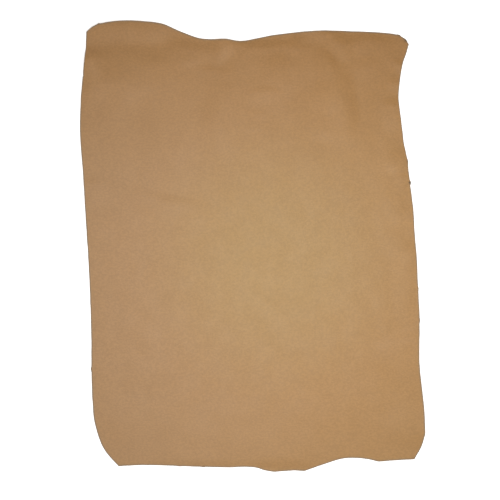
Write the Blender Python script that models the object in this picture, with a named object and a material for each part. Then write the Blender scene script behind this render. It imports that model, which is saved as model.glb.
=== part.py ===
"""A hide of natural vegetable-tanned leather: one cut piece, lying flat with its grain side up.

Metres, +Z up. +X runs across the hide and +Y up its length. The origin is under the centre of the
hide's box, and the flat middle of the flesh side lies at z = 0.

Places on the hide are measured as on a cutting table: across from the left side of the smallest box
round the hide, and up from that box's foot.
"""

from collections import namedtuple
from math import radians

import bmesh
import bpy
from mathutils import Matrix, Vector

# Driving dimensions
HIDE_WIDTH = 0.739
HIDE_LENGTH = 0.965
LEATHER_THICKNESS = 0.002

# Squares of the sheet's mesh, across and up
SQUARES_ACROSS = 42
SQUARES_UP = 56

# Corners: across and up
HEAD_LEFT = (0.014, 0.941)
HEAD_RIGHT = (0.704, 0.915)
FOOT_LEFT = (0.083, 0.012)
FOOT_RIGHT = (0.716, 0.027)

# The wavy cut between the corners: how far along a side of the box, and how far in from that side
HEAD_CUT = (
    (0.026, 0.014),
    (0.041, 0.007),
    (0.079, 0.001),
    (0.113, 0.000),
    (0.175, 0.006),
    (0.216, 0.023),
    (0.263, 0.038),
    (0.312, 0.039),
    (0.344, 0.043),
    (0.389, 0.035),
    (0.430, 0.028),
    (0.512, 0.021),
    (0.577, 0.022),
    (0.654, 0.026),
    (0.683, 0.031),
    (0.695, 0.039),
)
FOOT_CUT = (
    (0.130, 0.015),
    (0.180, 0.014),
    (0.238, 0.012),
    (0.315, 0.010),
    (0.372, 0.010),
    (0.397, 0.003),
    (0.414, 0.000),
    (0.457, 0.003),
    (0.481, 0.002),
    (0.533, 0.020),
    (0.560, 0.028),
    (0.585, 0.030),
    (0.612, 0.028),
    (0.639, 0.022),
    (0.678, 0.025),
)
LEFT_CUT = (
    (0.029, 0.067),
    (0.045, 0.054),
    (0.069, 0.042),
    (0.095, 0.034),
    (0.121, 0.029),
    (0.196, 0.025),
    (0.300, 0.024),
    (0.416, 0.020),
    (0.517, 0.014),
    (0.617, 0.008),
    (0.707, 0.001),
    (0.750, 0.000),
    (0.812, 0.003),
    (0.879, 0.010),
    (0.921, 0.013),
)
RIGHT_CUT = (
    (0.053, 0.009),
    (0.081, 0.000),
    (0.113, 0.001),
    (0.146, 0.003),
    (0.197, 0.009),
    (0.243, 0.013),
    (0.327, 0.012),
    (0.392, 0.015),
    (0.451, 0.018),
    (0.506, 0.022),
    (0.572, 0.027),
    (0.619, 0.033),
    (0.664, 0.038),
    (0.701, 0.045),
    (0.748, 0.051),
    (0.800, 0.057),
    (0.846, 0.053),
    (0.874, 0.048),
    (0.898, 0.040),
)

# Points of those tables where the knife turned sharply, by how far along they are
FOOT_TURNS = (0.414, 0.481, 0.639)
RIGHT_TURNS = (0.081,)

# Where the leather stands off the table: long soft rises, highest at their crests. The angle is from
# +X in degrees, half the length is along it, and the crest bows to its left in the middle. A rise may
# fall more steeply on one side, so it has a width to its left and one to its right.
Rise = namedtuple("Rise", "centre angle half_length left_width right_width height bow")
RISES = (
    # The lobe at the head's left: its rim curls up, and behind that the leather humps
    Rise((0.078, 0.958), 2, 0.180, 0.060, 0.054, 0.0060, 0.000),
    Rise((0.098, 0.856), -2, 0.205, 0.068, 0.120, 0.0056, 0.004),
    Rise((0.014, 0.882), 4, 0.046, 0.029, 0.060, 0.0054, 0.000),
    # The head's dip: ridges that run in from it, and its rim, which turns down at their right
    Rise((0.300, 0.772), 90, 0.135, 0.046, 0.056, 0.0034, 0.000),
    Rise((0.303, 0.915), 76, 0.060, 0.040, 0.030, 0.0034, 0.000),
    Rise((0.206, 0.705), 88, 0.130, 0.110, 0.060, 0.0030, 0.000),
    Rise((0.395, 0.907), -2, 0.115, 0.023, 0.150, 0.0038, 0.000),
    # The head's right half: its rim turns down, and a bowed fold runs in from it
    Rise((0.610, 0.918), 0, 0.085, 0.028, 0.090, 0.0040, 0.000),
    Rise((0.530, 0.816), -72, 0.132, 0.044, 0.074, 0.0056, 0.022),
    # Crease left of the middle
    Rise((0.192, 0.585), -13, 0.120, 0.030, 0.044, 0.0028, -0.016),
    # The ridge inside the right cut, and the ruffles between them
    Rise((0.660, 0.600), 92, 0.150, 0.036, 0.050, 0.0030, 0.000),
    Rise((0.680, 0.782), 3, 0.046, 0.023, 0.080, 0.0036, 0.000),
    Rise((0.692, 0.660), -4, 0.050, 0.036, 0.034, 0.0034, 0.000),
    Rise((0.705, 0.548), 2, 0.050, 0.028, 0.038, 0.0036, 0.000),
    Rise((0.704, 0.458), 4, 0.050, 0.048, 0.044, 0.0048, 0.000),
    # The bowed fold near the foot's right, and the foot's right corner
    Rise((0.717, 0.240), 3, 0.118, 0.034, 0.110, 0.0044, 0.034),
    Rise((0.735, 0.098), 6, 0.120, 0.060, 0.060, 0.0032, 0.000),
    # The foot's rim turns down all along, most at its bulge
    Rise((0.290, 0.030), 0, 0.270, 0.150, 0.032, 0.0024, 0.000),
    Rise((0.440, 0.026), 0, 0.090, 0.180, 0.028, 0.0024, 0.000),
    # The left cut's rim turns down near the lobe
    Rise((0.036, 0.832), 84, 0.050, 0.032, 0.130, 0.0032, 0.000),
)

# Finish, and the angle in degrees past which the cut's edges stay crisp
LEATHER_TAN = (0.46, 0.26, 0.13, 1.0)
LEATHER_ROUGHNESS = 0.6
CRISP_ANGLE = 35


def smooth_line(points, turns=()):
    """A line through points, as a function of the share of its length: smooth but at its turns."""
    points = [Vector(point) for point in points]
    reach = [0.0]
    for before, after in zip(points, points[1:]):
        reach.append(reach[-1] + (after - before).length)

    def slope(first, last):
        return (points[last] - points[first]) / (reach[last] - reach[first])

    def slope_at(index, span_start):
        if index in turns:
            return slope(span_start, span_start + 1)
        return slope(max(index - 1, 0), min(index + 1, len(points) - 1))

    def point_at(share):
        place = share * reach[-1]
        index = 0
        while index < len(points) - 2 and place > reach[index + 1]:
            index += 1
        span = reach[index + 1] - reach[index]
        t = (place - reach[index]) / span
        leaving = slope_at(index, index) * span
        arriving = slope_at(index + 1, index) * span
        return (
            points[index] * (2 * t**3 - 3 * t**2 + 1)
            + leaving * (t**3 - 2 * t**2 + t)
            + points[index + 1] * (3 * t**2 - 2 * t**3)
            + arriving * (t**3 - t**2)
        )

    return point_at


def turn_points(cut, turns):
    """Numbers of a cut's turns among its points, which start with a corner."""
    return [number for number, (along, inset) in enumerate(cut, start=1) if along in turns]


def hide_edges():
    """The four cuts as lines: foot and head from left to right, sides from foot to head."""
    head = [(along, HIDE_LENGTH - inset) for along, inset in HEAD_CUT]
    left = [(inset, along) for along, inset in LEFT_CUT]
    right = [(HIDE_WIDTH - inset, along) for along, inset in RIGHT_CUT]
    return (
        smooth_line([FOOT_LEFT, *FOOT_CUT, FOOT_RIGHT], turn_points(FOOT_CUT, FOOT_TURNS)),
        smooth_line([HEAD_LEFT, *head, HEAD_RIGHT]),
        smooth_line([FOOT_LEFT, *left, HEAD_LEFT]),
        smooth_line([FOOT_RIGHT, *right, HEAD_RIGHT], turn_points(RIGHT_CUT, RIGHT_TURNS)),
    )


def place_on_hide(edges, u, v):
    """Place at a share u across and v up, blended from the four cuts."""
    foot, head, left, right = edges
    between_ends = foot(u).lerp(head(u), v)
    between_sides = left(v).lerp(right(v), u)
    between_corners = foot(0).lerp(foot(1), u).lerp(head(0).lerp(head(1), u), v)
    return between_ends + between_sides - between_corners


def rise_height(rise, place):
    """Height of one rise at a place: full at its centre, none past its half length or its widths."""
    turn = Matrix.Rotation(radians(-rise.angle), 2)
    offset = turn @ (place - Vector(rise.centre))
    along = offset.x / rise.half_length
    aside = offset.y - rise.bow * (1 - along**2)
    aside /= rise.left_width if aside > 0 else rise.right_width
    return rise.height * max(1 - along**2 - aside**2, 0.0) ** 2


def lift_at(place):
    """How far the flesh side stands off the table at a place."""
    return sum(rise_height(rise, place) for rise in RISES)


def leather_material():
    """Tan leather, matt."""
    material = bpy.data.materials.new("natural_leather")
    material.use_nodes = True
    surface = material.node_tree.nodes["Principled BSDF"]
    surface.inputs["Base Color"].default_value = LEATHER_TAN
    surface.inputs["Roughness"].default_value = LEATHER_ROUGHNESS
    surface.inputs["Metallic"].default_value = 0.0
    return material


def make_hide():
    """The flesh side as a grid that fills the cut outline, given its thickness upwards."""
    edges = hide_edges()
    centre = Vector((HIDE_WIDTH / 2, HIDE_LENGTH / 2))
    sheet = bmesh.new()
    bmesh.ops.create_grid(sheet, x_segments=SQUARES_ACROSS, y_segments=SQUARES_UP, size=0.5)
    for vertex in sheet.verts:
        place = place_on_hide(edges, vertex.co.x + 0.5, vertex.co.y + 0.5)
        vertex.co = (place - centre).to_3d()
        vertex.co.z = lift_at(place)
    mesh = bpy.data.meshes.new("hide")
    sheet.to_mesh(mesh)
    sheet.free()

    hide = bpy.data.objects.new("hide", mesh)
    bpy.context.scene.collection.objects.link(hide)
    mesh.materials.append(leather_material())
    thickness = hide.modifiers.new("thickness", "SOLIDIFY")
    thickness.thickness = LEATHER_THICKNESS
    thickness.offset = 1.0
    mesh.shade_smooth()
    mesh.set_sharp_from_angle(angle=radians(CRISP_ANGLE))
    return hide


for old_object in list(bpy.data.objects):
    bpy.data.objects.remove(old_object, do_unlink=True)
make_hide()
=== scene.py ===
"""The looks of a natural leather hide that lies flat with its grain side up, seen from straight above.

Metres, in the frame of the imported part: +X across the hide, +Y up its length, +Z out of the grain
side. Places on the hide are measured as on a cutting table: across from the left side of the smallest
box round the hide, and up from that box's foot.
"""

from collections import namedtuple
from math import radians

import bpy
import numpy as np
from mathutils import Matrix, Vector, noise


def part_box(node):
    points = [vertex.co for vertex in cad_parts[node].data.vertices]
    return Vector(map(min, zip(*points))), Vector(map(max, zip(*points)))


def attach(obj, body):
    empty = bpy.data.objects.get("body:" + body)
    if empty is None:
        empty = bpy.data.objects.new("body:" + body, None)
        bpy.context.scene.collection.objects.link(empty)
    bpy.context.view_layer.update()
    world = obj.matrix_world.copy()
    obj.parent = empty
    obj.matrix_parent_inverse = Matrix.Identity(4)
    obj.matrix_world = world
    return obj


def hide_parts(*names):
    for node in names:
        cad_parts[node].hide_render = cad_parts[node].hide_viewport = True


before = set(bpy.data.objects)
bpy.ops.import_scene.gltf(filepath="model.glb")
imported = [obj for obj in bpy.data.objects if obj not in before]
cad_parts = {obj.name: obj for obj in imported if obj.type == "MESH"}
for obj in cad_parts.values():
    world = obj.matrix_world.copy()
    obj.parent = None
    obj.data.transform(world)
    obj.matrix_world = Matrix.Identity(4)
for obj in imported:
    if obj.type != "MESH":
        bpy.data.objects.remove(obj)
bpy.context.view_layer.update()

# The hide's cut
# A maker cut this shoulder free by hand with a round knife, so its rim waves, and has a few sharp
# turns, small nicks and loose tags. The cut runs square through 2 mm of bark-tanned leather.
foot_corner, head_corner = (Vector(corner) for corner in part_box("hide"))
HIDE_WIDTH = head_corner.x - foot_corner.x
HIDE_LENGTH = head_corner.y - foot_corner.y
LEATHER_THICKNESS = 0.002

# Corners: across and up
HEAD_LEFT = (0.014, 0.941)
HEAD_RIGHT = (0.704, 0.915)
FOOT_LEFT = (0.083, 0.012)
FOOT_RIGHT = (0.716, 0.027)

# The cut between the corners: how far along a side of the box, and how far in from that side
HEAD_CUT = (
    (0.026, 0.014),
    (0.041, 0.007),
    (0.079, 0.001),
    (0.113, 0.000),
    (0.175, 0.006),
    (0.216, 0.023),
    (0.263, 0.038),
    (0.312, 0.039),
    (0.344, 0.043),
    (0.389, 0.035),
    (0.430, 0.028),
    (0.512, 0.021),
    (0.577, 0.022),
    (0.654, 0.026),
    (0.683, 0.031),
    (0.695, 0.039),
)
FOOT_CUT = (
    (0.130, 0.015),
    (0.180, 0.014),
    (0.238, 0.012),
    (0.315, 0.010),
    (0.372, 0.010),
    (0.397, 0.003),
    (0.414, 0.000),
    (0.457, 0.003),
    (0.481, 0.002),
    (0.533, 0.020),
    (0.560, 0.028),
    (0.585, 0.030),
    (0.612, 0.028),
    (0.639, 0.022),
    (0.678, 0.025),
)
LEFT_CUT = (
    (0.029, 0.067),
    (0.045, 0.054),
    (0.069, 0.042),
    (0.095, 0.034),
    (0.121, 0.029),
    (0.196, 0.025),
    (0.300, 0.024),
    (0.416, 0.020),
    (0.517, 0.014),
    (0.617, 0.008),
    (0.707, 0.001),
    (0.750, 0.000),
    (0.812, 0.003),
    (0.879, 0.010),
    (0.921, 0.013),
)
RIGHT_CUT = (
    (0.053, 0.009),
    (0.081, 0.000),
    (0.113, 0.001),
    (0.146, 0.003),
    (0.197, 0.009),
    (0.243, 0.013),
    (0.327, 0.012),
    (0.392, 0.015),
    (0.451, 0.018),
    (0.506, 0.022),
    (0.572, 0.027),
    (0.619, 0.033),
    (0.664, 0.038),
    (0.701, 0.045),
    (0.748, 0.051),
    (0.800, 0.057),
    (0.846, 0.053),
    (0.874, 0.048),
    (0.898, 0.040),
)

# Points of those tables where the knife turned sharply, by how far along they are
FOOT_TURNS = (0.414, 0.481, 0.639)
RIGHT_TURNS = (0.081,)

# Small tags that the knife left proud, and nicks that it cut in: across, up, reach and how proud
Tag = namedtuple("Tag", "across up reach proud")
TAGS = (
    Tag(0.041, 0.958, 0.0030, 0.0016),
    Tag(0.682, 0.934, 0.0030, 0.0018),
    Tag(0.697, 0.924, 0.0060, 0.0016),
    Tag(0.706, 0.619, 0.0035, 0.0026),
    Tag(0.702, 0.664, 0.0060, 0.0012),
    Tag(0.725, 0.392, 0.0040, 0.0010),
    Tag(0.728, 0.324, 0.0040, 0.0012),
    Tag(0.023, 0.220, 0.0035, 0.0018),
    Tag(0.264, 0.010, 0.0040, 0.0014),
    Tag(0.213, 0.011, 0.0060, 0.0010),
    Tag(0.006, 0.848, 0.0040, -0.0010),
)

MOST_PROUD = max(tag.proud for tag in TAGS)

# How far the knife wanders from its line, over what length
KNIFE_WANDER = 0.0005
KNIFE_STRIDE = 0.022


def cut_line(points, turns=()):
    """A line through points, as a function of shares of its length: smooth but at its turns."""
    points = np.array(points)
    spans = np.diff(points, axis=0)
    reach = np.concatenate(([0.0], np.cumsum(np.linalg.norm(spans, axis=1))))
    slopes = spans / np.diff(reach)[:, None]
    leaving = slopes.copy()
    arriving = slopes.copy()
    for number in range(1, len(points) - 1):
        if number not in turns:
            through = points[number + 1] - points[number - 1]
            through = through / (reach[number + 1] - reach[number - 1])
            leaving[number] = through
            arriving[number - 1] = through

    def points_at(shares):
        places = shares * reach[-1]
        first = np.clip(np.searchsorted(reach, places, side="right") - 1, 0, len(spans) - 1)
        span = np.diff(reach)[first][:, None]
        t = (places - reach[first])[:, None] / span
        return (
            points[first] * (2 * t**3 - 3 * t**2 + 1)
            + leaving[first] * span * (t**3 - 2 * t**2 + t)
            + points[first + 1] * (3 * t**2 - 2 * t**3)
            + arriving[first] * span * (t**3 - t**2)
        )

    return points_at


def turn_points(cut, turns):
    """Numbers of a cut's turns among its points, which start with a corner."""
    return [number for number, (along, inset) in enumerate(cut, start=1) if along in turns]


def hand_cut(line, squares, outward_side):
    """A cut's points, a square apart, with the knife's wander, tags and nicks, and the way out."""
    points = line(np.linspace(0, 1, squares + 1))
    ahead = np.gradient(points, axis=0)
    ahead /= np.linalg.norm(ahead, axis=1)[:, None]
    outward = outward_side * np.stack((ahead[:, 1], -ahead[:, 0]), axis=1)
    proud = np.array([noise.noise(Vector((*point, 0.0)) / KNIFE_STRIDE) for point in points])
    proud *= KNIFE_WANDER
    for tag in TAGS:
        distance = np.linalg.norm(points - (tag.across, tag.up), axis=1)
        proud += tag.proud * np.exp(-((distance / tag.reach) ** 2))
    proud[[0, -1]] = 0.0
    return points + outward * proud[:, None]


SQUARES_ACROSS = 178
SQUARES_UP = 232
head_points = [(along, HIDE_LENGTH - inset) for along, inset in HEAD_CUT]
left_points = [(inset, along) for along, inset in LEFT_CUT]
right_points = [(HIDE_WIDTH - inset, along) for along, inset in RIGHT_CUT]
foot_turns = turn_points(FOOT_CUT, FOOT_TURNS)
right_turns = turn_points(RIGHT_CUT, RIGHT_TURNS)
foot = hand_cut(cut_line([FOOT_LEFT, *FOOT_CUT, FOOT_RIGHT], foot_turns), SQUARES_ACROSS, 1)
head = hand_cut(cut_line([HEAD_LEFT, *head_points, HEAD_RIGHT]), SQUARES_ACROSS, -1)
left = hand_cut(cut_line([FOOT_LEFT, *left_points, HEAD_LEFT]), SQUARES_UP, -1)
right = hand_cut(cut_line([FOOT_RIGHT, *right_points, HEAD_RIGHT], right_turns), SQUARES_UP, 1)

# Each place inside is blended from the four cuts, at a share u across and v up
u, v = np.meshgrid(np.linspace(0, 1, SQUARES_ACROSS + 1), np.linspace(0, 1, SQUARES_UP + 1))
u = u[:, :, None]
v = v[:, :, None]
between_ends = foot[None] * (1 - v) + head[None] * v
between_sides = left[:, None] * (1 - u) + right[:, None] * u
between_corners = (foot[0] * (1 - u) + foot[-1] * u) * (1 - v)
between_corners = between_corners + (head[0] * (1 - u) + head[-1] * u) * v
places = between_ends + between_sides - between_corners

# The hide's folds
# Bark-tanned leather keeps some shape from drying and from the roll that it was stored in, so its rims
# stand a little off the table or turn down to it, and soft folds and slack run in from them.
Rise = namedtuple("Rise", "centre angle half_length left_width right_width height bow")
RISES = (
    # The lobe at the head's left: its rim curls up, and behind that the leather humps
    Rise((0.078, 0.958), 2, 0.180, 0.060, 0.054, 0.0060, 0.000),
    Rise((0.098, 0.856), -2, 0.205, 0.068, 0.120, 0.0056, 0.004),
    Rise((0.014, 0.882), 4, 0.046, 0.029, 0.060, 0.0054, 0.000),
    # The head's dip: ridges that run in from it, and its rim, which turns down at their right
    Rise((0.300, 0.772), 90, 0.135, 0.046, 0.056, 0.0034, 0.000),
    Rise((0.303, 0.915), 76, 0.060, 0.040, 0.030, 0.0034, 0.000),
    Rise((0.206, 0.705), 88, 0.130, 0.110, 0.060, 0.0030, 0.000),
    Rise((0.395, 0.907), -2, 0.115, 0.023, 0.150, 0.0038, 0.000),
    # The head's right half: its rim turns down, and a bowed fold runs in from it
    Rise((0.610, 0.918), 0, 0.085, 0.028, 0.090, 0.0040, 0.000),
    Rise((0.530, 0.816), -72, 0.132, 0.044, 0.074, 0.0056, 0.022),
    # Crease left of the middle
    Rise((0.192, 0.585), -13, 0.120, 0.030, 0.044, 0.0028, -0.016),
    # The ridge inside the right cut, and the ruffles between them
    Rise((0.660, 0.600), 92, 0.150, 0.036, 0.050, 0.0030, 0.000),
    Rise((0.680, 0.782), 3, 0.046, 0.023, 0.080, 0.0036, 0.000),
    Rise((0.692, 0.660), -4, 0.050, 0.036, 0.034, 0.0034, 0.000),
    Rise((0.705, 0.548), 2, 0.050, 0.028, 0.038, 0.0036, 0.000),
    Rise((0.704, 0.458), 4, 0.050, 0.048, 0.044, 0.0048, 0.000),
    # The bowed fold near the foot's right, and the foot's right corner
    Rise((0.717, 0.240), 3, 0.118, 0.034, 0.110, 0.0044, 0.034),
    Rise((0.735, 0.098), 6, 0.120, 0.060, 0.060, 0.0032, 0.000),
    # The foot's rim turns down all along, most at its bulge
    Rise((0.290, 0.030), 0, 0.270, 0.150, 0.032, 0.0024, 0.000),
    Rise((0.440, 0.026), 0, 0.090, 0.180, 0.028, 0.0024, 0.000),
    # The left cut's rim turns down near the lobe
    Rise((0.036, 0.832), 84, 0.050, 0.032, 0.130, 0.0032, 0.000),
)
CREASES = (
    # The lobe's left corner curls up most
    Rise((0.022, 0.968), 42, 0.075, 0.040, 0.056, 0.0018, 0.000),
    # Tight puckers: in the left cut under the lobe, and in the head's rim beside its dip
    Rise((0.016, 0.887), 4, 0.030, 0.018, 0.040, 0.0022, 0.000),
    Rise((0.372, 0.911), -2, 0.050, 0.018, 0.070, 0.0018, 0.000),
    Rise((0.298, 0.950), 84, 0.046, 0.022, 0.018, 0.0020, 0.000),
    # A ridge along the foot of the lobe's right flank, and the dip's own rim, which curls up
    Rise((0.236, 0.900), -8, 0.066, 0.026, 0.046, 0.0030, 0.000),
    Rise((0.315, 0.922), 0, 0.040, 0.030, 0.045, 0.0024, 0.000),
    # Growth lines across the neck, the first two broad
    Rise((0.420, 0.862), 0, 0.076, 0.036, 0.080, 0.0022, 0.000),
    Rise((0.385, 0.818), 8, 0.090, 0.060, 0.070, 0.0018, 0.000),
    Rise((0.398, 0.812), 1, 0.050, 0.014, 0.026, 0.0014, 0.001),
    Rise((0.376, 0.768), 3, 0.042, 0.012, 0.022, 0.0007, 0.000),
    Rise((0.362, 0.737), 6, 0.036, 0.020, 0.012, 0.0005, 0.000),
    Rise((0.290, 0.857), -2, 0.060, 0.014, 0.022, 0.0008, 0.000),
    Rise((0.230, 0.871), 12, 0.036, 0.024, 0.012, 0.0007, 0.000),
    Rise((0.530, 0.722), 4, 0.042, 0.040, 0.016, 0.0012, 0.000),
    # The bowed fold turns in at its head, and swells towards the middle
    Rise((0.528, 0.876), -38, 0.042, 0.022, 0.050, 0.0024, 0.000),
    Rise((0.540, 0.790), 90, 0.115, 0.044, 0.070, 0.0026, 0.000),
    Rise((0.566, 0.745), 10, 0.044, 0.036, 0.050, 0.0018, 0.000),
    # The head's rim, pinched between its two halves, and the leather behind it
    Rise((0.500, 0.960), 0, 0.050, 0.040, 0.050, 0.0034, 0.000),
    Rise((0.563, 0.916), 0, 0.030, 0.022, 0.070, 0.0034, 0.000),
    Rise((0.465, 0.917), 8, 0.034, 0.022, 0.110, 0.0022, 0.000),
    Rise((0.535, 0.930), 0, 0.035, 0.020, 0.045, 0.0028, 0.000),
    Rise((0.600, 0.862), 0, 0.056, 0.030, 0.080, 0.0020, 0.000),
    # Small ruffles along the right cut, and slack that hangs in lines inside it
    Rise((0.690, 0.872), 0, 0.036, 0.016, 0.026, 0.0022, 0.000),
    Rise((0.686, 0.832), 0, 0.036, 0.016, 0.024, 0.0020, 0.000),
    Rise((0.702, 0.627), 0, 0.042, 0.020, 0.090, 0.0034, 0.000),
    Rise((0.672, 0.560), 92, 0.055, 0.024, 0.020, 0.0012, 0.000),
    Rise((0.700, 0.395), 92, 0.080, 0.040, 0.024, 0.0014, 0.000),
    Rise((0.586, 0.430), 97, 0.080, 0.040, 0.022, 0.0012, 0.002),
    Rise((0.650, 0.370), 97, 0.095, 0.030, 0.022, 0.0014, 0.003),
    Rise((0.622, 0.398), 106, 0.065, 0.024, 0.022, 0.0012, 0.000),
    Rise((0.545, 0.290), 100, 0.050, 0.030, 0.020, 0.0012, 0.000),
    Rise((0.622, 0.262), 85, 0.060, 0.034, 0.060, 0.0016, 0.000),
    # Faint slack at the left and at the foot
    Rise((0.134, 0.625), 85, 0.045, 0.022, 0.050, 0.0008, 0.000),
    Rise((0.012, 0.611), 0, 0.060, 0.018, 0.080, 0.0024, 0.000),
    Rise((0.020, 0.508), 0, 0.040, 0.022, 0.040, 0.0010, 0.000),
    Rise((0.130, 0.295), -40, 0.065, 0.034, 0.060, 0.0013, 0.006),
    Rise((0.110, 0.430), 89, 0.120, 0.050, 0.050, 0.0006, 0.000),
    Rise((0.115, 0.215), 86, 0.070, 0.030, 0.030, 0.0006, 0.000),
    Rise((0.090, 0.102), -40, 0.080, 0.080, 0.050, 0.0014, 0.000),
    Rise((0.180, 0.020), 0, 0.140, 0.050, 0.020, 0.0010, 0.000),
)

# How far a fold's line strays, over what length, and swells all over, too faint to be folds
FOLD_STRAY = 0.009
STRAY_LENGTH = 0.060
SWELL_HEIGHT = 0.0006
SWELL_LENGTH = 0.130
THICKNESS_CHANGE = 0.00006
CHANGE_LENGTH = 0.030

# Where the sheet touches the table it lies flat, and leaves it over this much height
SETTLE_HEIGHT = 0.0006


def rise_heights(rises, places):
    """Summed height of rises at places: full at each crest, none past its half length or its widths."""
    heights = np.zeros(places.shape[:2])
    for rise in rises:
        cos_angle = np.cos(radians(rise.angle))
        sin_angle = np.sin(radians(rise.angle))
        across_offset, up_offset = np.moveaxis(places - rise.centre, 2, 0)
        along = (across_offset * cos_angle + up_offset * sin_angle) / rise.half_length
        aside = up_offset * cos_angle - across_offset * sin_angle
        aside = aside - rise.bow * (1 - along**2)
        aside = aside / np.where(aside > 0, rise.left_width, rise.right_width)
        heights += rise.height * np.maximum(1 - along**2 - aside**2, 0) ** 2
    return heights


def noise_heights(places, length, layer):
    """Smooth noise from -1 to 1 at places, with swells of about one length."""
    flat_places = places.reshape(-1, 2) / length
    values = [noise.noise(Vector((across, up, layer))) for across, up in flat_places]
    return np.array(values).reshape(places.shape[:2])


strays = [noise_heights(places, STRAY_LENGTH, layer) for layer in (1.0, 2.0)]
strayed_places = places + FOLD_STRAY * np.stack(strays, axis=2)
sheet_heights = rise_heights(RISES + CREASES, strayed_places)
sheet_heights += SWELL_HEIGHT * noise_heights(places, SWELL_LENGTH, 3.0)
flesh_heights = (sheet_heights + np.sqrt(sheet_heights**2 + SETTLE_HEIGHT**2)) / 2
flesh_heights -= flesh_heights.min()
grain_heights = flesh_heights + LEATHER_THICKNESS
grain_heights += THICKNESS_CHANGE * noise_heights(places, CHANGE_LENGTH, 4.0)

# The rim, from the grain side's round arris down the square cut to the flesh side: how far in from
# the cut, and at what share of the leather's height
RIM_GRAIN_INSET = 0.00045
RIM_FLESH_INSET = 0.00030
RIM_STEPS = (
    (0.00016, 0.94),
    (0.00002, 0.84),
    (0.00000, 0.62),
    (0.00004, 0.38),
    (0.00006, 0.16),
)
RIM_ROUGHNESS = 0.00012
RIM_GRIT_SIZE = 0.004


def rim_of(grid):
    """A grid's outer row as one loop: along the foot, up the right, back along the head, down."""
    return np.concatenate((grid[0, :-1], grid[:-1, -1], grid[-1, :0:-1], grid[:0:-1, 0]))


rim_places = rim_of(places)
rim_ahead = np.roll(rim_places, -1, axis=0) - np.roll(rim_places, 1, axis=0)
rim_ahead /= np.linalg.norm(rim_ahead, axis=1)[:, None]
rim_outward = np.stack((rim_ahead[:, 1], -rim_ahead[:, 0]), axis=1)
grid_numbers = np.arange(places.shape[0] * places.shape[1]).reshape(places.shape[:2])
rim_numbers = rim_of(grid_numbers)
origin = np.array((foot_corner.x, foot_corner.y))


def sheet_points(heights, rim_inset):
    """Points of one side of the sheet, its rim drawn in a little."""
    flat = places.reshape(-1, 2).copy()
    flat[rim_numbers] -= rim_outward * rim_inset
    return np.column_stack((flat + origin, heights.ravel()))


def rim_points(step, layer):
    """Points of one step down the cut, as rough as the knife left it."""
    inset, share = step
    rough = [noise.noise(Vector((*place, layer)) / RIM_GRIT_SIZE) for place in rim_places]
    flat = rim_places - rim_outward * (inset + RIM_ROUGHNESS * np.array(rough))[:, None]
    low = rim_of(flesh_heights)
    high = rim_of(grain_heights)
    return np.column_stack((flat + origin, low + (high - low) * share))


grain_points = sheet_points(grain_heights, RIM_GRAIN_INSET)
flesh_points = sheet_points(flesh_heights, RIM_FLESH_INSET)
step_points = [rim_points(step, float(layer)) for layer, step in enumerate(RIM_STEPS)]
hide_points = np.concatenate((grain_points, flesh_points, *step_points))

# Loops of point numbers down the cut, and the squares between them
rim_count = len(rim_numbers)
first_step = 2 * grid_numbers.size
step_numbers = [first_step + rim_count * row + np.arange(rim_count) for row in range(len(RIM_STEPS))]
rim_loops = [rim_numbers, *step_numbers, rim_numbers + grid_numbers.size]


def squares_between(corners):
    """Four-point faces from the numbers of their corners, in the order given."""
    return np.stack([corner.ravel() for corner in corners], axis=1)


grain_faces = squares_between(
    (grid_numbers[:-1, :-1], grid_numbers[:-1, 1:], grid_numbers[1:, 1:], grid_numbers[1:, :-1])
)
flesh_faces = grain_faces[:, ::-1] + grid_numbers.size
cut_faces = np.concatenate(
    [
        squares_between((upper, lower, np.roll(lower, -1), np.roll(upper, -1)))
        for upper, lower in zip(rim_loops, rim_loops[1:])
    ]
)
hide_faces = np.concatenate((grain_faces, flesh_faces, cut_faces))
hide_mesh = bpy.data.meshes.new("leather_hide")
hide_mesh.from_pydata(hide_points.tolist(), [], hide_faces.tolist())

# How far each point lies from the cut, how deep in the leather, 0 on the grain side and 1 on the flesh,
# and how near a proud tag, most at the proudest tag, where the grain side is coloured dark brown
margin = np.minimum(np.minimum(u, 1 - u) * HIDE_WIDTH, np.minimum(v, 1 - v) * HIDE_LENGTH)
step_shares = np.repeat([1 - share for inset, share in RIM_STEPS], rim_count)
no_margin = np.zeros(rim_count * len(RIM_STEPS))
margins = np.concatenate((margin.ravel(), margin.ravel(), no_margin))
depths = np.concatenate((np.zeros(margin.size), np.ones(margin.size), step_shares))
tag_darkness = np.zeros(len(hide_points))
for tag in TAGS:
    distance = np.linalg.norm(hide_points[:, :2] - origin - (tag.across, tag.up), axis=1)
    tag_darkness = np.maximum(tag_darkness, tag.proud / MOST_PROUD * np.exp(-((distance / tag.reach) ** 2)))
for attribute_name, values in (("margin", margins), ("depth", depths), ("tag_dark", tag_darkness)):
    attribute = hide_mesh.attributes.new(attribute_name, "FLOAT", "POINT")
    attribute.data.foreach_set("value", values.astype(np.float32))

# One flat map of the whole piece: the grain side nearly fills it, with the flesh side small beside it
# and the four cuts in rows above
MAP_GAP = 0.004
GRAIN_SCALE = 0.985
FLESH_SCALE = 0.345
CUT_ROW = 0.0062
CUT_ROW_GAP = 0.0026


def sheet_map(numbers, scale, left_side, mirrored):
    """Map places of a side's points, which lie as on the hide."""
    flat = hide_points[numbers, :2] - (foot_corner.x, foot_corner.y)
    if mirrored:
        flat[:, 0] = HIDE_WIDTH - flat[:, 0]
    return flat * scale + (left_side, MAP_GAP)


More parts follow.
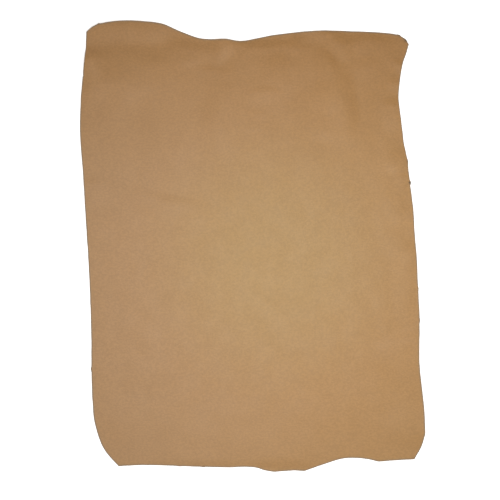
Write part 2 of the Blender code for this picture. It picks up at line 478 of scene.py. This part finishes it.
def cut_map():
    """Map places of the cut's faces: rows for foot, right, head and left, each as long as its cut."""
    step_shares = np.linspace(1, 0, len(rim_loops))
    first_row = MAP_GAP * 2 + HIDE_LENGTH * GRAIN_SCALE
    rows = []
    for upper, lower in zip(step_shares, step_shares[1:]):
        for row, squares in enumerate((SQUARES_ACROSS, SQUARES_UP, SQUARES_ACROSS, SQUARES_UP)):
            left_side = MAP_GAP + np.arange(squares) * (1 - 2 * MAP_GAP) / SQUARES_UP
            right_side = MAP_GAP + np.arange(1, squares + 1) * (1 - 2 * MAP_GAP) / SQUARES_UP
            row_foot = first_row + row * (CUT_ROW + CUT_ROW_GAP)
            top = np.full(squares, row_foot + upper * CUT_ROW)
            bottom = np.full(squares, row_foot + lower * CUT_ROW)
            corners = ((left_side, top), (left_side, bottom), (right_side, bottom), (right_side, top))
            rows.append(np.stack([np.stack(corner, axis=1) for corner in corners], axis=1))
    return np.concatenate(rows).reshape(-1, 2)


flesh_side_left = 2 * MAP_GAP + HIDE_WIDTH * GRAIN_SCALE
map_places = np.concatenate(
    (
        sheet_map(grain_faces.ravel(), GRAIN_SCALE, MAP_GAP, mirrored=False),
        sheet_map(flesh_faces.ravel(), FLESH_SCALE, flesh_side_left, mirrored=True),
        cut_map(),
    )
)
flat_map = hide_mesh.uv_layers.new(name="OFBake")
flat_map.uv.foreach_set("vector", map_places.astype(np.float32).ravel())

hide = bpy.data.objects.new("leather_hide", hide_mesh)
bpy.context.scene.collection.objects.link(hide)
hide_mesh.shade_smooth()


# The grain side's finish
# Undyed bark tan: tawny in the middle, pinker at the left, browner at the head, mottled as the hide
# took up the tan unevenly, with hair pores and the fine net of furrows between them. These tones are
# partly painted light: the middle is painted paler as a pool of light, the left a little paler, and
# the head darker as painted shade where the light falls off.
def add_node(tree, kind, sockets, **settings):
    """A node with its settings, its sockets filled with values or linked from other sockets."""
    node = tree.nodes.new(kind)
    for name, value in settings.items():
        setattr(node, name, value)
    for name, value in sockets.items():
        if isinstance(value, bpy.types.NodeSocket):
            tree.links.new(value, node.inputs[name])
        else:
            node.inputs[name].default_value = value
    return node


def new_finish(name, roughness, specular):
    """A material, its node tree and its surface shader."""
    material = bpy.data.materials.new(name)
    material.use_nodes = True
    surface = material.node_tree.nodes["Principled BSDF"]
    surface.inputs["Roughness"].default_value = roughness
    surface.inputs["Specular IOR Level"].default_value = specular
    return material, material.node_tree, surface


def object_places(tree):
    """Coordinates in metres in the hide's own frame."""
    return add_node(tree, "ShaderNodeTexCoord", {}).outputs["Object"]


def noise_field(tree, where, size, detail=2.0, roughness=0.5):
    """Noise from 0 to 1 with spots of about one size in metres."""
    sockets = {"Vector": where, "Scale": 1 / size, "Detail": detail, "Roughness": roughness}
    return add_node(tree, "ShaderNodeTexNoise", sockets).outputs["Fac"]


def ramp(tree, value, low, high, to_low=0.0, to_high=1.0):
    """A value spread smoothly from one range to another."""
    sockets = {"Value": value, "From Min": low, "From Max": high, "To Min": to_low, "To Max": to_high}
    node = add_node(tree, "ShaderNodeMapRange", sockets, interpolation_type="SMOOTHSTEP")
    return node.outputs["Result"]


def blend_colours(tree, share, first, second, how="MIX"):
    """Two colours mixed by a share."""
    sockets = {0: share, 6: first, 7: second}
    node = add_node(tree, "ShaderNodeMix", sockets, data_type="RGBA", blend_type=how)
    return node.outputs[2]


def stacked_bumps(tree, *bumps):
    """Bumps laid on each other: each a height from 0 to 1 and its depth in metres."""
    normal = None
    for height, depth in bumps:
        sockets = {"Height": height, "Distance": depth, "Strength": 1.0}
        if normal is not None:
            sockets["Normal"] = normal
        normal = add_node(tree, "ShaderNodeBump", sockets).outputs["Normal"]
    return normal


# Partly painted light: a pool of light in the middle, a little more at the left, shade at the head
MIDDLE_TAN_AND_LIGHT = (0.507, 0.308, 0.121, 1.0)
LEFT_TAN_AND_LIGHT = (0.510, 0.293, 0.135, 1.0)
TAN_RIGHT = (0.509, 0.280, 0.104, 1.0)
HEAD_LEFT_TAN_AND_SHADE = (0.494, 0.262, 0.099, 1.0)
HEAD_RIGHT_TAN_AND_SHADE = (0.488, 0.252, 0.087, 1.0)
PORE_BROWN = (0.250, 0.140, 0.065, 1.0)
# Grey at the rim: partly leather pressed by the cut, partly painted shade of its rounded edge
RIM_GREY_AND_SHADE = (0.275, 0.240, 0.180, 1.0)
# Dark brown round the proud tags
TAG_DARK_BROWN = (0.095, 0.065, 0.040, 1.0)

# Where the middle's tone and its painted pool of light are centred and fade, and how far in from the
# cut the rim's grey, partly painted shade, reaches
MIDDLE_PLACE = (0.05, -0.03, 0.0)
MIDDLE_FULL = 0.05
MIDDLE_END = 0.34
RIM_GREY_AND_SHADE_REACH = 0.0054

# Sizes of the spots of uneven tan, and how close the furrows and pores stand
CLOUD_SIZE = 0.120
PATCH_SIZE = 0.030
MOTTLE_SIZE = 0.0034
FURROWS_PER_METRE = 700.0
PORES_PER_METRE = 430.0
FURROW_STRAY = 0.0008

# Sizes of the grain's wrinkles and pebbles, and how deep all its relief goes
WRINKLE_SIZE = 0.011
PEBBLE_SIZE = 0.0030
WRINKLE_DEPTH = 0.00023
PEBBLE_DEPTH = 0.00022
FURROW_DEPTH = 0.00007
PORE_DEPTH = 0.00008


def make_grain_finish():
    """Grain side of undyed bark-tanned leather."""
    material, tree, surface = new_finish("grain_side", 0.54, 0.46)
    where = object_places(tree)
    split = add_node(tree, "ShaderNodeSeparateXYZ", {0: where}).outputs

    # Pinker at the left, and a little paler there as painted light
    sideways = ramp(tree, split["X"], -0.32, 0.30)
    tone = blend_colours(tree, sideways, LEFT_TAN_AND_LIGHT, TAN_RIGHT)
    # The head is painted darker: partly its browner tan, partly painted shade where the light falls off
    headwards = ramp(tree, split["Y"], 0.12, 0.48)
    head_tone_and_shade = blend_colours(tree, sideways, HEAD_LEFT_TAN_AND_SHADE, HEAD_RIGHT_TAN_AND_SHADE)
    tone = blend_colours(tree, headwards, tone, head_tone_and_shade)
    # The middle is painted paler: partly its tawnier tan, partly a painted pool of light
    from_middle = add_node(
        tree, "ShaderNodeVectorMath", {0: where, 1: MIDDLE_PLACE}, operation="DISTANCE"
    )
    near_middle = ramp(tree, from_middle.outputs["Value"], MIDDLE_FULL, MIDDLE_END, 1.0, 0.0)
    tone = blend_colours(tree, near_middle, tone, MIDDLE_TAN_AND_LIGHT)

    grain_places = add_node(
        tree, "ShaderNodeMapping", {"Vector": where, "Scale": (0.7, 1.0, 1.0)}
    ).outputs["Vector"]
    clouds = noise_field(tree, where, CLOUD_SIZE, 3.0)
    patches = noise_field(tree, where, PATCH_SIZE, 3.0)
    mottle = noise_field(tree, grain_places, MOTTLE_SIZE, 2.0)
    cloudy = ramp(tree, clouds, 0.3, 0.7, 0.992, 1.008)
    patchy = ramp(tree, patches, 0.3, 0.7, 0.990, 1.010)
    mottled = ramp(tree, mottle, 0.3, 0.7, 0.944, 1.056)
    for strength in (cloudy, patchy, mottled):
        grey = add_node(tree, "ShaderNodeCombineColor", {0: strength, 1: strength, 2: strength})
        tone = blend_colours(tree, 1.0, tone, grey.outputs[0], "MULTIPLY")

    warp = add_node(tree, "ShaderNodeTexNoise", {"Vector": where, "Scale": 400.0, "Detail": 1.0})
    shifted = add_node(
        tree, "ShaderNodeVectorMath", {0: warp.outputs["Color"], 1: (FURROW_STRAY,) * 3, 2: where},
        operation="MULTIPLY_ADD",
    ).outputs[0]
    furrows = add_node(
        tree, "ShaderNodeTexVoronoi", {"Vector": shifted, "Scale": FURROWS_PER_METRE},
        feature="DISTANCE_TO_EDGE",
    ).outputs["Distance"]
    furrow_height = ramp(tree, furrows, 0.0, 0.16)
    pores = add_node(
        tree, "ShaderNodeTexVoronoi", {"Vector": shifted, "Scale": PORES_PER_METRE}
    )
    pore_height = ramp(tree, pores.outputs["Distance"], 0.06, 0.20)
    pored = ramp(tree, pore_height, 0.0, 1.0, 0.35, 0.0)
    tone = blend_colours(tree, pored, tone, PORE_BROWN)

    # Grey for a few millimetres in from the cut: partly the pressed edge, partly painted shade
    margin_value = add_node(tree, "ShaderNodeAttribute", {}, attribute_name="margin")
    at_rim = ramp(tree, margin_value.outputs["Fac"], 0.0, RIM_GREY_AND_SHADE_REACH, 0.54, 0.0)
    tone = blend_colours(tree, at_rim, tone, RIM_GREY_AND_SHADE)
    # The grain side is coloured dark brown round each proud tag
    tag_dark_value = add_node(tree, "ShaderNodeAttribute", {}, attribute_name="tag_dark")
    tag_dark = ramp(tree, tag_dark_value.outputs["Fac"], 0.1, 0.9, 0.0, 0.9)
    tone = blend_colours(tree, tag_dark, tone, TAG_DARK_BROWN)

    tree.links.new(tone, surface.inputs["Base Color"])
    worn = ramp(tree, noise_field(tree, where, 0.045, 4.0), 0.3, 0.7, 0.51, 0.57)
    tree.links.new(worn, surface.inputs["Roughness"])
    wrinkles = noise_field(tree, where, WRINKLE_SIZE, 3.0)
    pebbles = noise_field(tree, where, PEBBLE_SIZE, 2.0)
    bumps = stacked_bumps(
        tree,
        (wrinkles, WRINKLE_DEPTH),
        (pebbles, PEBBLE_DEPTH),
        (furrow_height, FURROW_DEPTH),
        (pore_height, PORE_DEPTH),
    )
    tree.links.new(bumps, surface.inputs["Normal"])
    return material


# The flesh side's finish
# Split and shaved to thickness, not lined: a paler nap of loose fibres that lie the way the knife
# went, with a few darker veins of uneven shaving.
FLESH_PALE = (0.520, 0.365, 0.225, 1.0)
FLESH_DARK = (0.390, 0.250, 0.140, 1.0)
NAP_LIE = 0.4
NAP_SIZE = 0.0014
NAP_DEPTH = 0.0005
TUFT_SIZE = 0.012
TUFT_DEPTH = 0.0006


def make_flesh_finish():
    """Flesh side: a matt nap."""
    material, tree, surface = new_finish("flesh_side", 0.92, 0.2)
    where = object_places(tree)
    lying = add_node(
        tree, "ShaderNodeMapping", {"Vector": where, "Rotation": (0, 0, NAP_LIE), "Scale": (1, 0.22, 1)}
    ).outputs["Vector"]
    nap = noise_field(tree, lying, NAP_SIZE, 4.0, 0.6)
    tufts = noise_field(tree, where, TUFT_SIZE, 4.0, 0.6)
    shade = ramp(tree, tufts, 0.3, 0.7)
    tone = blend_colours(tree, shade, FLESH_DARK, FLESH_PALE)
    tone = blend_colours(tree, ramp(tree, nap, 0.35, 0.65, 0.0, 0.35), tone, FLESH_PALE)
    tree.links.new(tone, surface.inputs["Base Color"])
    surface.inputs["Sheen Weight"].default_value = 0.25
    surface.inputs["Sheen Roughness"].default_value = 0.6
    bumps = stacked_bumps(tree, (tufts, TUFT_DEPTH), (nap, NAP_DEPTH))
    tree.links.new(bumps, surface.inputs["Normal"])
    return material


# The cut's finish
# The knife bared the thin dark grain layer above the paler, ropy fibres of the hide's core. Nothing
# was done to it after the cut, so it stays rough, and palest at the flesh side.
CUT_GRAIN = (0.170, 0.110, 0.065, 1.0)
CUT_CORE = (0.330, 0.225, 0.140, 1.0)
CUT_FLESH = (0.430, 0.300, 0.190, 1.0)
CUT_FIBRE_SIZE = 0.0009
CUT_FIBRE_DEPTH = 0.0003


def make_cut_finish():
    """Cut through the leather, layered from grain to flesh."""
    material, tree, surface = new_finish("cut_edge", 0.85, 0.25)
    where = object_places(tree)
    depth = add_node(tree, "ShaderNodeAttribute", {}, attribute_name="depth").outputs["Fac"]
    fibres = noise_field(tree, where, CUT_FIBRE_SIZE, 3.0, 0.6)
    tone = blend_colours(tree, ramp(tree, depth, 0.55, 1.0), CUT_CORE, CUT_FLESH)
    tone = blend_colours(tree, ramp(tree, depth, 0.10, 0.30, 1.0, 0.0), tone, CUT_GRAIN)
    tone = blend_colours(tree, ramp(tree, fibres, 0.4, 0.7, 0.0, 0.5), tone, CUT_GRAIN)
    tree.links.new(tone, surface.inputs["Base Color"])
    bumps = stacked_bumps(tree, (fibres, CUT_FIBRE_DEPTH))
    tree.links.new(bumps, surface.inputs["Normal"])
    return material


for finish in (make_grain_finish(), make_flesh_finish(), make_cut_finish()):
    hide_mesh.materials.append(finish)
side_numbers = np.repeat((0, 1, 2), (len(grain_faces), len(flesh_faces), len(cut_faces)))
hide_mesh.polygons.foreach_set("material_index", side_numbers)

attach(hide, "root")
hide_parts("hide")

# The cut's loose fibres
# The core of the hide is a felt of ropy fibres, and the knife pulls a few out of the cut. They are a
# millimetre or two long, stand in tufts where the blade dragged, and lie thickest on the tags.
FIBRES_PER_SQUARE_METRE = 150000.0
FIBRE_LENGTH = 0.0016
FIBRE_THICKNESS = 0.00016
FIBRE_LEAN = 0.9
FIBRE_WANDER = 0.0006
WANDERS_PER_METRE = 500.0
TUFT_SPACING = 0.016
FLOOR_CLEARANCE = 0.0001

# How loose the fibres are between tufts and at a tag: in the middle of a tuft they are about 1
LEAST_LOOSE = 0.1
LOOSE_AT_TAG = 4

# A fibre's shape, in shares of its length: where it bends, and its tip's height and reach aside. Its
# tip's thickness and the shortest fibre's length are shares too, and it may be spun either way.
BEND_HEIGHT = 0.6
TIP_HEIGHT = 0.8
TIP_REACH = 0.6
TIP_THICKNESS = 0.3
SHORTEST_FIBRE = 0.3
FIBRE_SPIN = 3.14
FIBRE_SEED = 7
FIBRE_TAN = (0.300, 0.205, 0.130, 1.0)
FIBRE_DARK = (0.150, 0.100, 0.060, 1.0)

# The cut's faces below the grain layer, with how loose the fibres are at each point
core_faces = cut_faces[rim_count * 2 :]
core_mesh = bpy.data.meshes.new("cut_core")
core_mesh.from_pydata(hide_points.tolist(), [], core_faces.tolist())
flat_points = hide_points[:, :2] - origin
looseness = [noise.noise(Vector((*point, 5.0)) / TUFT_SPACING) for point in flat_points]
looseness = np.clip(np.array(looseness) * 2, 0, 1) ** 2 + LEAST_LOOSE
for tag in TAGS:
    if tag.proud > 0:
        distance = np.linalg.norm(flat_points - (tag.across, tag.up), axis=1)
        looseness += LOOSE_AT_TAG * np.exp(-((distance / tag.reach) ** 2))
loose = core_mesh.attributes.new("looseness", "FLOAT", "POINT")
loose.data.foreach_set("value", looseness.astype(np.float32))


def make_fibre_finish():
    """Fibres, some browner than others."""
    material, tree, surface = new_finish("loose_fibres", 0.8, 0.25)
    shade = ramp(tree, noise_field(tree, object_places(tree), 0.003), 0.35, 0.65)
    tree.links.new(blend_colours(tree, shade, FIBRE_TAN, FIBRE_DARK), surface.inputs["Base Color"])
    return material


def make_fibre_tree():
    """Nodes that scatter bent, tapered fibres over a cut's faces, as dense as these are loose."""
    tree = bpy.data.node_groups.new("scatter_fibres", "GeometryNodeTree")
    tree.interface.new_socket("Cut", in_out="INPUT", socket_type="NodeSocketGeometry")
    for name in ("Density", "Length", "Thickness", "Lean", "Wander"):
        tree.interface.new_socket(name, in_out="INPUT", socket_type="NodeSocketFloat")
    tree.interface.new_socket("Seed", in_out="INPUT", socket_type="NodeSocketInt")
    tree.interface.new_socket("Fibres", in_out="OUTPUT", socket_type="NodeSocketGeometry")
    given = tree.nodes.new("NodeGroupInput").outputs

    # One fibre, bent over at its tip and tapering to it
    bend = add_node(tree, "ShaderNodeCombineXYZ", {"X": 0.0, "Y": 0.0, "Z": given["Length"]})
    tip_share = add_node(
        tree, "ShaderNodeVectorMath", {0: bend.outputs[0], 1: (0.0, 0.0, TIP_HEIGHT)},
        operation="MULTIPLY",
    )
    tip_aside = add_node(tree, "ShaderNodeCombineXYZ", {"X": given["Length"], "Y": 0.0, "Z": 0.0})
    tip = add_node(
        tree, "ShaderNodeVectorMath",
        {0: tip_aside.outputs[0], 1: (TIP_REACH, 0.0, 0.0), 2: tip_share.outputs[0]},
        operation="MULTIPLY_ADD",
    )
    middle = add_node(
        tree, "ShaderNodeVectorMath", {0: bend.outputs[0], 1: (0.0, 0.0, BEND_HEIGHT)},
        operation="MULTIPLY",
    )
    line = add_node(
        tree, "GeometryNodeCurveQuadraticBezier",
        {"Resolution": 4, "Start": (0.0, 0.0, 0.0), "Middle": middle.outputs[0], "End": tip.outputs[0]},
    )
    along = add_node(tree, "GeometryNodeSplineParameter", {}).outputs["Factor"]
    taper = add_node(
        tree, "ShaderNodeMapRange",
        {"Value": along, "From Min": 0.0, "From Max": 1.0, "To Min": 1.0, "To Max": TIP_THICKNESS},
    )
    half_thickness = add_node(
        tree, "ShaderNodeMath", {0: given["Thickness"], 1: 0.5}, operation="MULTIPLY"
    )
    section = add_node(
        tree, "GeometryNodeCurvePrimitiveCircle", {"Resolution": 3, "Radius": half_thickness.outputs[0]}
    )
    fibre = add_node(
        tree, "GeometryNodeCurveToMesh",
        {
            "Curve": line.outputs[0], "Profile Curve": section.outputs["Curve"],
            "Scale": taper.outputs["Result"], "Fill Caps": True,
        },
    )

    # Fibres stand out of the cut, lean at random, and no two bend alike
    looseness = add_node(tree, "GeometryNodeInputNamedAttribute", {"Name": "looseness"})
    density = add_node(
        tree, "ShaderNodeMath", {0: given["Density"], 1: looseness.outputs["Attribute"]},
        operation="MULTIPLY",
    )
    roots = add_node(
        tree, "GeometryNodeDistributePointsOnFaces",
        {"Mesh": given["Cut"], "Density": density.outputs[0], "Seed": given["Seed"]},
    )
    less_lean = add_node(
        tree, "ShaderNodeMath", {0: given["Lean"], 1: -1.0}, operation="MULTIPLY"
    )
    least = add_node(
        tree, "ShaderNodeCombineXYZ",
        {"X": less_lean.outputs[0], "Y": less_lean.outputs[0], "Z": -FIBRE_SPIN},
    )
    most = add_node(
        tree, "ShaderNodeCombineXYZ", {"X": given["Lean"], "Y": given["Lean"], "Z": FIBRE_SPIN}
    )
    turn = add_node(
        tree, "FunctionNodeRandomValue",
        {"Min": least.outputs[0], "Max": most.outputs[0], "Seed": given["Seed"]},
        data_type="FLOAT_VECTOR",
    )
    lean = add_node(tree, "FunctionNodeEulerToRotation", {"Euler": turn.outputs["Value"]})
    stand = add_node(
        tree, "FunctionNodeRotateRotation",
        {"Rotation": roots.outputs["Rotation"], "Rotate By": lean.outputs[0]},
        rotation_space="LOCAL",
    )
    share = add_node(
        tree, "FunctionNodeRandomValue", {2: SHORTEST_FIBRE, 3: 1.0, "Seed": given["Seed"]}
    )
    fibres = add_node(
        tree, "GeometryNodeInstanceOnPoints",
        {
            "Points": roots.outputs["Points"], "Instance": fibre.outputs["Mesh"],
            "Rotation": stand.outputs[0], "Scale": share.outputs[1],
        },
    )
    realized = add_node(tree, "GeometryNodeRealizeInstances", {"Geometry": fibres.outputs[0]})
    wander = add_node(tree, "ShaderNodeTexNoise", {"Scale": WANDERS_PER_METRE, "Detail": 0.0})
    centred = add_node(
        tree, "ShaderNodeVectorMath", {0: wander.outputs["Color"], 1: (0.5, 0.5, 0.5)},
        operation="SUBTRACT",
    )
    drift = add_node(
        tree, "ShaderNodeVectorMath", {0: centred.outputs[0], "Scale": given["Wander"]},
        operation="SCALE",
    )
    drifted = add_node(
        tree, "GeometryNodeSetPosition",
        {"Geometry": realized.outputs[0], "Offset": drift.outputs[0]},
    )
    finished = add_node(
        tree, "GeometryNodeSetMaterial",
        {"Geometry": drifted.outputs[0], "Material": make_fibre_finish()},
    )
    result = tree.nodes.new("NodeGroupOutput")
    tree.links.new(finished.outputs[0], result.inputs["Fibres"])
    return tree


core = bpy.data.objects.new("cut_core", core_mesh)
bpy.context.scene.collection.objects.link(core)
fibre_tree = make_fibre_tree()
scatter = core.modifiers.new("scatter_fibres", "NODES")
scatter.node_group = fibre_tree
fibre_sizes = {
    "Density": FIBRES_PER_SQUARE_METRE,
    "Length": FIBRE_LENGTH,
    "Thickness": FIBRE_THICKNESS,
    "Lean": FIBRE_LEAN,
    "Wander": FIBRE_WANDER,
    "Seed": FIBRE_SEED,
}
for socket in fibre_tree.interface.items_tree:
    if socket.name in fibre_sizes:
        scatter[socket.identifier] = fibre_sizes[socket.name]
evaluated_core = core.evaluated_get(bpy.context.evaluated_depsgraph_get())
fibre_mesh = bpy.data.meshes.new_from_object(evaluated_core)
fibre_mesh.name = "cut_fibres"
bpy.data.objects.remove(core)
bpy.data.meshes.remove(core_mesh)
for vertex in fibre_mesh.vertices:
    vertex.co.z = max(vertex.co.z, FLOOR_CLEARANCE)
fibres = bpy.data.objects.new("cut_fibres", fibre_mesh)
bpy.context.scene.collection.objects.link(fibres)
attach(fibres, "root")

# The floor
# A plain studio cove: flat under the hide, turning up into a round wall far behind it. It is matt
# white and lit through like a light table, so it shows pure white around the hide.
FLOOR_RADIUS = 6.0
COVE_RADIUS = 1.2
WALL_HEIGHT = 1.9
COVE_STEPS = 16
TURNS_ROUND = 96
FLOOR_WHITE = (0.90, 0.90, 0.90, 1.0)
FLOOR_GLOW = (1.0, 1.0, 1.0, 1.0)
GLOW_STRENGTH = 0.66

cove_profile = [(0.0, 0.0), (FLOOR_RADIUS, 0.0)]
for step in range(1, COVE_STEPS + 1):
    turn = radians(90) * step / COVE_STEPS
    cove_profile.append(
        (FLOOR_RADIUS + COVE_RADIUS * np.sin(turn), COVE_RADIUS * (1 - np.cos(turn)))
    )
cove_profile.append((FLOOR_RADIUS + COVE_RADIUS, WALL_HEIGHT))
round_turns = np.linspace(0, 2 * np.pi, TURNS_ROUND, endpoint=False)
floor_points = [(0.0, 0.0, 0.0)]
for radius, height in cove_profile[1:]:
    floor_points += [(radius * np.cos(t), radius * np.sin(t), height) for t in round_turns]
floor_faces = []
for spoke in range(TURNS_ROUND):
    after = (spoke + 1) % TURNS_ROUND
    floor_faces.append((0, 1 + spoke, 1 + after))
    for ring in range(len(cove_profile) - 2):
        inner = 1 + ring * TURNS_ROUND
        outer = inner + TURNS_ROUND
        floor_faces.append((inner + spoke, outer + spoke, outer + after, inner + after))
floor_mesh = bpy.data.meshes.new("floor")
floor_mesh.from_pydata(floor_points, [], floor_faces)
floor_mesh.shade_smooth()
floor = bpy.data.objects.new("floor", floor_mesh)
bpy.context.scene.collection.objects.link(floor)
floor_finish, floor_tree, floor_surface = new_finish("white_floor", 0.9, 0.1)
floor_surface.inputs["Base Color"].default_value = FLOOR_WHITE
floor_surface.inputs["Emission Color"].default_value = FLOOR_GLOW
floor_surface.inputs["Emission Strength"].default_value = GLOW_STRENGTH
floor_mesh.materials.append(floor_finish)

# Light
# A small round soft box hangs low over the middle, so the hide is brightest there and its folds
# show. Faint white light from all round fills the shadows.
FILL_WHITE = (1.0, 1.0, 1.0, 1.0)
FILL_STRENGTH = 0.11
SOFT_BOX_WIDTH = 0.35
SOFT_BOX_WATTS = 14.6
SOFT_BOX_TINT = (1.0, 0.98, 0.95)
SOFT_BOX_PLACE = (0.08, -0.10, 1.40)

world = bpy.data.worlds.new("studio")
world.use_nodes = True
world.node_tree.nodes["Background"].inputs["Color"].default_value = FILL_WHITE
world.node_tree.nodes["Background"].inputs["Strength"].default_value = FILL_STRENGTH
bpy.context.scene.world = world
soft_box = bpy.data.lights.new("soft_box", "AREA")
soft_box.shape = "DISK"
soft_box.size = SOFT_BOX_WIDTH
soft_box.energy = SOFT_BOX_WATTS
soft_box.color = SOFT_BOX_TINT
soft_box_object = bpy.data.objects.new("soft_box", soft_box)
soft_box_object.location = SOFT_BOX_PLACE
soft_box_object.visible_camera = False
bpy.context.scene.collection.objects.link(soft_box_object)

# Camera
# A plain camera straight above the hide, with the photograph's frame: 500 pixels of 2.14 mm at the
# hide. It is so far up that the raised rims hardly lean outwards in the picture.
PICTURE_PIXELS = 500
METRES_PER_PIXEL = 0.00214
PICTURE_WIDTH = PICTURE_PIXELS * METRES_PER_PIXEL
PICTURE_CENTRE = (-0.0057, -0.0077)
CAMERA_HEIGHT = 3.0
SENSOR_WIDTH = 36.0

camera_data = bpy.data.cameras.new("camera")
camera_data.sensor_width = SENSOR_WIDTH
camera_data.lens = SENSOR_WIDTH * (CAMERA_HEIGHT - LEATHER_THICKNESS) / PICTURE_WIDTH
camera = bpy.data.objects.new("camera", camera_data)
camera.location = (*PICTURE_CENTRE, CAMERA_HEIGHT)
bpy.context.scene.collection.objects.link(camera)
bpy.context.scene.camera = camera
bpy.context.scene.view_settings.view_transform = "Standard"
